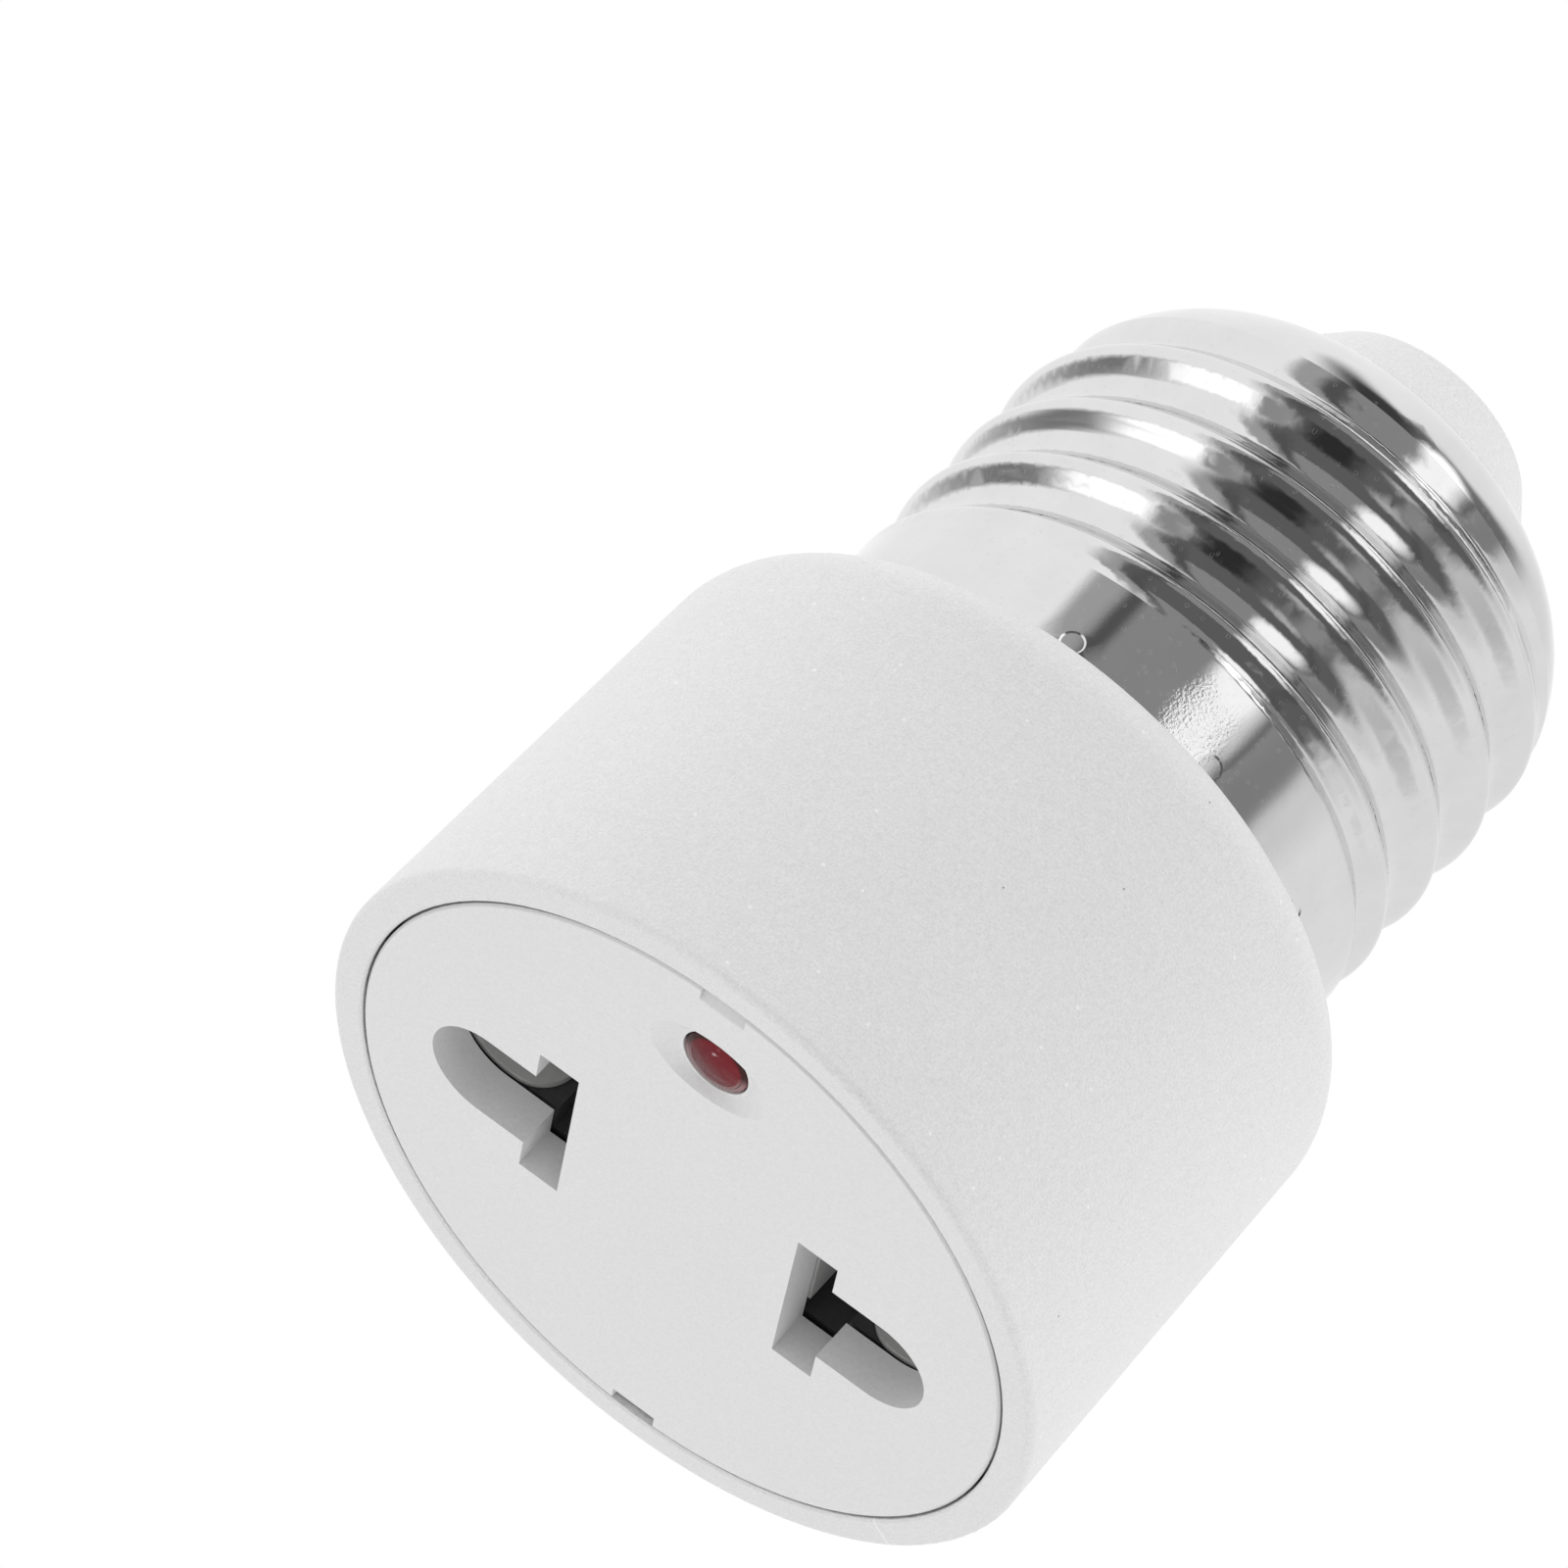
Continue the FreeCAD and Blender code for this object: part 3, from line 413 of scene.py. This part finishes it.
class AdapterFinishes(bpy.types.PropertyGroup):
    """Colours of the adapter's pieces."""

    body: bpy.props.FloatVectorProperty(
        name="Body", description="Plastic of the body, neck and nose", subtype="COLOR",
        default=(0.835, 0.835, 0.835))
    face: bpy.props.FloatVectorProperty(
        name="Face", description="Plastic of the outlet face", subtype="COLOR", default=(0.775, 0.775, 0.775))
    shell: bpy.props.FloatVectorProperty(
        name="Screw shell", description="Nickel plate of the screw shell", subtype="COLOR",
        default=(0.8, 0.8, 0.8))
    contact: bpy.props.FloatVectorProperty(
        name="Contacts", description="Plated strip of the contacts", subtype="COLOR",
        default=(0.78, 0.78, 0.77))
    carrier: bpy.props.FloatVectorProperty(
        name="Carrier", description="Dark plastic inside", subtype="COLOR", default=(0.055, 0.055, 0.057))
    lens: bpy.props.FloatVectorProperty(
        name="Lens", description="Tinted resin of the lamp", subtype="COLOR", default=(0.125, 0.004, 0.009))
    grain: bpy.props.FloatProperty(
        name="Grain", description="Size of the moulded grain in millimetres", default=0.11, min=0.02, max=1.0)


class AdapterStudio(bpy.types.PropertyGroup):
    """Sizes and levels of the studio."""

    floor_size: bpy.props.FloatProperty(
        name="Floor", description="Width of the floor", default=3.0, min=0.2, unit="LENGTH")
    floor_colour: bpy.props.FloatVectorProperty(
        name="Floor colour", description="Colour of the floor", subtype="COLOR", default=(0.93, 0.93, 0.93))
    level: bpy.props.FloatProperty(
        name="Light", description="Level of the light all round on matt surfaces", default=1.17, min=0.0)
    front_fall: bpy.props.FloatProperty(
        name="Front fall", description="How much less light comes from the camera's side",
        default=0.61, min=0.0)
    rear_fall: bpy.props.FloatProperty(
        name="Rear fall", description="How much less light comes from the far side", default=0.36, min=0.0)
    low_fall: bpy.props.FloatProperty(
        name="Low fall", description="How much less light comes from below", default=0.2, min=0.0)


class ADAPTER_OT_body(bpy.types.Operator):
    """Dress the body and the outlet face in moulded plastic"""

    bl_idname = "adapter.body"
    bl_label = "Body and face"

    def execute(self, context):
        colours = context.scene.adapter_finishes
        body = moulded_plastic("body_plastic", colours.body, grain_mm=colours.grain, grain_depth=0.06,
                               roughness=0.55, mottle=0.26, with_specks=True)
        face = moulded_plastic("face_plastic", colours.face, grain_mm=0.16, grain_depth=0.015,
                               roughness=0.42, mottle=0.14, with_specks=False)
        dress(body, "housing")
        dress(face, "face_plate")
        return {"FINISHED"}


class ADAPTER_OT_screw_end(bpy.types.Operator):
    """Dress the screw shell and the centre contact in nickel"""

    bl_idname = "adapter.screw_end"
    bl_label = "Screw end"

    def execute(self, context):
        colours = context.scene.adapter_finishes
        shell = nickel("shell_nickel", colours.shell, SHELL_RADIUS,
                       streak_per_mm=5.0, roughness=0.03, staked=True)
        tip = nickel("tip_nickel", colours.shell, TIP_RADIUS,
                     streak_per_mm=3.0, roughness=0.12, staked=False)
        dress(shell, "screw_shell")
        dress(tip, "centre_contact")
        return {"FINISHED"}


class ADAPTER_OT_contacts(bpy.types.Operator):
    """Dress the contacts in plated spring strip"""

    bl_idname = "adapter.contacts"
    bl_label = "Contacts"

    def execute(self, context):
        plate = context.scene.adapter_finishes.contact
        material, nodes = finish("contact_plate")
        place = nodes.position()
        drawn = nodes.noise(nodes.stretched(place, 6.0, 6.0, 0.4), 1.0, detail=3.0, roughness=0.6)
        patch = nodes.noise(place, 0.8)
        nodes.surface(
            Base_Color=nodes.blend(drawn * 0.5 + patch * 0.3, colour(plate), shaded(plate, 0.7)),
            Metallic=0.4,
            Roughness=0.3 + drawn * 0.2,
            Normal=nodes.bump(drawn + patch * 2.0, 0.012),
        )
        dress(material, "contact_left", "contact_right")
        return {"FINISHED"}


class ADAPTER_OT_lamp(bpy.types.Operator):
    """Dress the indicator lamp's lens in tinted resin"""

    bl_idname = "adapter.lamp"
    bl_label = "Indicator lamp"

    def execute(self, context):
        resin = context.scene.adapter_finishes.lens
        material, nodes = finish("lens_resin")
        place = nodes.position()
        cloud = nodes.noise(place, 1.2)
        ripple = nodes.noise(place, 2.2, detail=1.0)
        nodes.surface(
            Base_Color=self.tint(nodes, place, cloud, resin),
            Roughness=0.1 + cloud * 0.1,
            Specular_IOR_Level=0.08,
            Coat_Weight=0.22,
            Coat_Roughness=0.03,
            Normal=nodes.bump(ripple, 0.05),
        )
        dress(material, "indicator_lamp")
        return {"FINISHED"}

    @staticmethod
    def tint(nodes, place, cloud, resin):
        """Red painted lighter on one side, a painted shadow at the rim outwards, and a pale ring with a thin
        line inwards.
        """
        x, y, _ = nodes.parts_of(place)
        low, high = (Vector(corner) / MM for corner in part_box("indicator_lamp"))
        middle = (low.y + high.y) / 2
        out = nodes.oval(place, 0, middle, LENS_RADIUS, LENS_RADIUS)
        across = nodes.step(x * 0.7 - y * 0.7, 5.8, 9.4)
        outward = nodes.step(y, middle + 0.5, middle - 0.3)
        inward = 1 - outward
        # Painted shadow along the outward edge of the lens, under the edge of its hole
        rim = nodes.step(out, 0.86, 0.97) * outward * 0.9
        # The pale ring is partly the clear resin at the lens's edge and partly a painted reflection; the thin
        # dark line in it is painted reflection too
        ring = nodes.step(out, 0.8, 0.9) * inward * 0.6
        line = nodes.step(abs(out - 0.93), 0.03, 0.015) * inward * 0.8
        # Painted light: a shaded and a lit copy of the resin's red, lighter across the lens towards one side
        lit_and_shaded_red = nodes.blend(across * 0.7 + cloud * 0.3, shaded(resin, 0.5), shaded(resin, 1.7))
        rimmed = nodes.blend(rim, lit_and_shaded_red, (0.02, 0.002, 0.002, 1))
        ringed = nodes.blend(ring, rimmed, (0.45, 0.3, 0.3, 1))
        return nodes.blend(line, ringed, (0.02, 0.005, 0.005, 1))


class ADAPTER_OT_inside(bpy.types.Operator):
    """Dress the carrier, wires, components and solder inside"""

    bl_idname = "adapter.inside"
    bl_label = "Inside"

    def execute(self, context):
        carrier = context.scene.adapter_finishes.carrier
        tones = (shaded(carrier, 0.8), shaded(carrier, 1.4))
        plastic = cloudy("carrier_plastic", tones, per_mm=4.0, detail=3.0,
                         roughness=0.5, spread=0.1, depth_mm=0.01)
        dress(plastic, "contact_carrier")
        self.wires()
        self.components()
        return {"FINISHED"}

    @staticmethod
    def wires():
        """Copper cores and soft sheaths."""
        copper, nodes = finish("wire_copper")
        x, y, z = nodes.parts_of(nodes.position())
        strand = nodes.noise(nodes.vector(x * 4.0, y * 4.0, z * 0.8), 1.0)
        nodes.surface(
            Base_Color=nodes.blend(strand, (0.72, 0.33, 0.18, 1), (0.5, 0.2, 0.1, 1)),
            Metallic=1.0,
            Roughness=0.25 + strand * 0.15,
            Normal=nodes.bump(strand, 0.03),
        )
        dress(copper, "live_core", "neutral_core")
        for name, node, tone in (
            ("red_sheath", "live_sheath", (0.42, 0.02, 0.02)),
            ("black_sheath", "neutral_sheath", (0.02, 0.02, 0.02)),
        ):
            sheath = cloudy(name, (shaded(tone, 0.85), shaded(tone, 1.2)), per_mm=1.5, detail=3.0,
                            roughness=0.42, spread=0.15, depth_mm=0.02)
            dress(sheath, node)

    @staticmethod
    def components():
        """Banded resistor, glass diode, leads, tubes and solder."""
        lacquer = banded("resistor_coat", "resistor", RESISTOR_BANDS, roughness=0.3, spread=0.15, coat=0.0)
        glass = banded("diode_glass", "diode", DIODE_BANDS, roughness=0.06, spread=0.06, coat=1.0)
        dress(lacquer, "resistor")
        dress(glass, "diode")
        tin = cloudy("tinned_wire", ((0.66, 0.66, 0.65, 1), (0.5, 0.5, 0.49, 1)), per_mm=3.0, detail=3.0,
                     roughness=0.28, spread=0.15, depth_mm=0.01, metallic=1.0)
        ends = ("_lamp_lead", "_lower_lead", "_upper_lead")
        dress(tin, *(name + end for name in ("resistor", "diode") for end in ends))
        tube = cloudy("tube_rubber", ((0.015, 0.015, 0.015, 1), (0.035, 0.035, 0.035, 1)), per_mm=2.0,
                      detail=3.0, roughness=0.45, spread=0.15, depth_mm=0.02)
        dress(tube, "resistor_sleeve", "diode_sleeve")
        solder = cloudy("solder_metal", ((0.62, 0.62, 0.6, 1), (0.42, 0.42, 0.4, 1)), per_mm=2.5, detail=4.0,
                        roughness=0.3, spread=0.25, depth_mm=0.03, metallic=1.0)
        dress(solder, "solder_left", "solder_right", "solder_centre")


class ADAPTER_OT_stage(bpy.types.Operator):
    """Set up the camera, the floor and the white dome"""

    bl_idname = "adapter.stage"
    bl_label = "Stage"

    def execute(self, context):
        studio = context.scene.adapter_studio
        self.camera(context)
        self.floor(context, studio)
        self.dome(context, studio)
        context.scene.view_settings.view_transform = "Standard"
        return {"FINISHED"}

    @staticmethod
    def camera(context):
        """The long lens that looks up at the outlet face."""
        lens = bpy.data.cameras.new("camera")
        for setting in ("sensor_width", "lens", "clip_start", "clip_end"):
            setattr(lens, setting, CAMERA[setting])
        camera = bpy.data.objects.new("camera", lens)
        right, up = Vector(CAMERA["right"]), Vector(CAMERA["up"])
        turn = Matrix((right, up, right.cross(up))).transposed().to_4x4()
        camera.matrix_world = Matrix.Translation(CAMERA["place"]) @ turn
        context.collection.objects.link(camera)
        context.scene.camera = camera

    @classmethod
    def floor(cls, context, studio):
        """A pale floor that shows from above and lets the camera below look through."""
        mesh = bpy.data.meshes.new("floor")
        half = studio.floor_size / 2
        low = CAD_BOX[0][2] - FLOOR_GAP
        corners = [(-half, -half, low), (half, -half, low), (half, half, low), (-half, half, low)]
        mesh.from_pydata(corners, [], [(0, 1, 2, 3)])
        floor = bpy.data.objects.new("floor", mesh)
        context.collection.objects.link(floor)
        mesh.materials.append(cls.paint(studio.floor_colour))
        floor.visible_diffuse = False
        floor.visible_shadow = False
        floor.visible_glossy = False

    @staticmethod
    def paint(base):
        """Matt paint that is clear from behind."""
        material, nodes = finish("floor_paint")
        paper = nodes.noise(nodes.position(), 0.4, detail=4.0)
        tint = nodes.blend(paper, shaded(base, 0.985), shaded(base, 1.015))
        below = nodes.add("NewGeometry", output=6)
        matt = nodes.add("BsdfDiffuse", values={"Color": tint})
        clear = nodes.add("BsdfTransparent")
        nodes.add("OutputMaterial", values={"Surface": nodes.mixed(below, matt, clear)})
        return material

    @classmethod
    def dome(cls, context, studio):
        """Even light for matt surfaces, dark and bright panels for metal, and white behind the part."""
        world = bpy.data.worlds.new("studio")
        world.use_nodes = True
        context.scene.world = world
        nodes = Nodes(world.node_tree)
        x, y, z = nodes.parts_of(nodes.add("TexCoord", output=0))
        front = math.radians(CAMERA_BEARING)
        toward = x * math.cos(front) + y * math.sin(front)
        across = y * math.cos(front) - x * math.sin(front)
        path = nodes.add("LightPath")
        seen, glossy, passed = (Signal(nodes, path.socket.node.outputs[label])
                                for label in ("Is Camera Ray", "Is Glossy Ray", "Is Transmission Ray"))
        frontal = toward.at_least(0.0)
        rear = frontal - toward
        even = studio.level - frontal * frontal * studio.front_fall - rear * rear * studio.rear_fall
        even = even + z * studio.low_fall
        around = nodes.blend(seen + passed, even, (1, 1, 1, 1))
        plain = nodes.add("Background", values={"Color": around})
        polished = nodes.add("Background", values={"Color": cls.panels(nodes, toward, across, z)})
        nodes.add("OutputWorld", values={"Surface": nodes.mixed(glossy, plain, polished)})

    @staticmethod
    def panels(nodes, toward, across, height):
        """What polished metal shows: a pale backdrop with the soft oval panels laid over it."""
        reach = BACKDROP["reach"]
        side = nodes.add("MapRange", values={0: across, 1: -reach, 2: reach})
        shown = BACKDROP["level"] - BACKDROP["fall"] * side
        way = nodes.vector(across.angle_from(toward), height.arcsine(), 0.0)
        for level, *angles, softness in STUDIO_PANELS:
            out = nodes.oval(way, *(math.radians(angle) for angle in angles))
            shown = shown + nodes.step(out, 1 + softness, 1 - softness) * (level - shown)
        return shown


class ADAPTER_PT_panel(bpy.types.Panel):
    """Buttons and colours of the adapter"""

    bl_idname = "ADAPTER_PT_panel"
    bl_label = "Outlet adapter"
    bl_space_type = "VIEW_3D"
    bl_region_type = "UI"
    bl_category = "Adapter"

    def draw(self, context):
        for operator in OPERATORS:
            self.layout.operator(operator.bl_idname)
        for name in AdapterFinishes.__annotations__:
            self.layout.prop(context.scene.adapter_finishes, name)
        for name in AdapterStudio.__annotations__:
            self.layout.prop(context.scene.adapter_studio, name)


OPERATORS = (
    ADAPTER_OT_body, ADAPTER_OT_screw_end, ADAPTER_OT_contacts,
    ADAPTER_OT_lamp, ADAPTER_OT_inside, ADAPTER_OT_stage,
)
CLASSES = (AdapterFinishes, AdapterStudio) + OPERATORS + (ADAPTER_PT_panel,)


def register():
    """Adds the classes and their properties."""
    for item in CLASSES:
        bpy.utils.register_class(item)
    bpy.types.Scene.adapter_finishes = bpy.props.PointerProperty(type=AdapterFinishes)
    bpy.types.Scene.adapter_studio = bpy.props.PointerProperty(type=AdapterStudio)


def unregister():
    """Removes the classes and their properties."""
    del bpy.types.Scene.adapter_studio
    del bpy.types.Scene.adapter_finishes
    for item in reversed(CLASSES):
        bpy.utils.unregister_class(item)


def main():
    """Runs every step."""
    register()
    for operator in OPERATORS:
        getattr(bpy.ops.adapter, operator.bl_idname.split(".")[1])()


if __name__ == "__main__":
    main()
